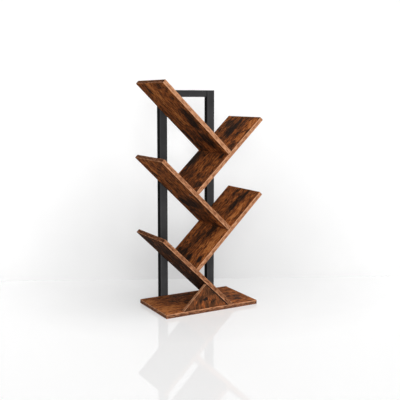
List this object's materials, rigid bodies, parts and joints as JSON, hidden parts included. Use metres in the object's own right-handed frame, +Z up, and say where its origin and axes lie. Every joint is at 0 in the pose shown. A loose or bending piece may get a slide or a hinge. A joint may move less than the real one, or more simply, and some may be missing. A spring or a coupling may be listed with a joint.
{
  "type": "bookshelf",
  "caption": "Tree shaped bookshelf: leaning shelves branch left and right from a flat base board, held by a black steel tube frame that stands behind them.",
  "frame": {"origin": "on the floor, under the middle of the base board", "axes": "+Z up, -Y the open front, +X to the right of someone who stands in front"},
  "size_m": [0.547, 0.3225, 1.0998],
  "materials": {
    "rustic_laminate": "satin rustic brown laminate on particle board, with dark streaks and knots",
    "powder_coated_steel": "fine matt black powder coat",
    "black_plastic": "moulded, matt",
    "brown_plastic": "moulded, matt",
    "black_screw_steel": "black zinc",
    "zinc_screw_steel": "bright zinc"
  },
  "bodies": {
    "root": {"base_board": "rustic_laminate", "base_screw_front_left": "zinc_screw_steel", "base_screw_front_right": "zinc_screw_steel", "frame_screw_base_left_a": "black_screw_steel", "frame_screw_base_left_b": "black_screw_steel", "frame_screw_base_right_a": "black_screw_steel", "frame_screw_base_right_b": "black_screw_steel", "frame_screw_lower_left_left_a": "black_screw_steel", "frame_screw_lower_left_left_b": "black_screw_steel", "frame_screw_lower_right_right_a": "black_screw_steel", "frame_screw_lower_right_right_b": "black_screw_steel", "frame_screw_middle_left_left_a": "black_screw_steel", "frame_screw_middle_left_left_b": "black_screw_steel", "frame_screw_top_left_left_a": "black_screw_steel", "frame_screw_top_left_left_b": "black_screw_steel", "frame_screw_upper_right_right_a": "black_screw_steel", "frame_screw_upper_right_right_b": "black_screw_steel", "front_gusset": "rustic_laminate", "gusset_screw_high": "zinc_screw_steel", "gusset_screw_high_cap": "brown_plastic", "gusset_screw_low": "zinc_screw_steel", "gusset_screw_low_cap": "brown_plastic", "joint_screw_lower_right_front": "zinc_screw_steel", "joint_screw_lower_right_front_cap": "brown_plastic", "joint_screw_lower_right_rear": "zinc_screw_steel", "joint_screw_lower_right_rear_cap": "brown_plastic", "joint_screw_middle_left_front": "zinc_screw_steel", "joint_screw_middle_left_front_cap": "brown_plastic", "joint_screw_middle_left_rear": "zinc_screw_steel", "joint_screw_middle_left_rear_cap": "brown_plastic", "joint_screw_top_left_front": "zinc_screw_steel", "joint_screw_top_left_front_cap": "brown_plastic", "joint_screw_top_left_rear": "zinc_screw_steel", "joint_screw_top_left_rear_cap": "brown_plastic", "joint_screw_upper_right_front": "zinc_screw_steel", "joint_screw_upper_right_front_cap": "brown_plastic", "joint_screw_upper_right_rear": "zinc_screw_steel", "joint_screw_upper_right_rear_cap": "brown_plastic", "left_upright": "powder_coated_steel", "left_upright_cap": "black_plastic", "left_upright_foot": "black_plastic", "lower_left_shelf": "rustic_laminate", "lower_right_shelf": "rustic_laminate", "middle_left_shelf": "rustic_laminate", "right_upright": "powder_coated_steel", "right_upright_cap": "black_plastic", "right_upright_foot": "black_plastic", "top_bar": "powder_coated_steel", "top_left_shelf": "rustic_laminate", "upper_right_shelf": "rustic_laminate"}
  },
  "joints": []
}
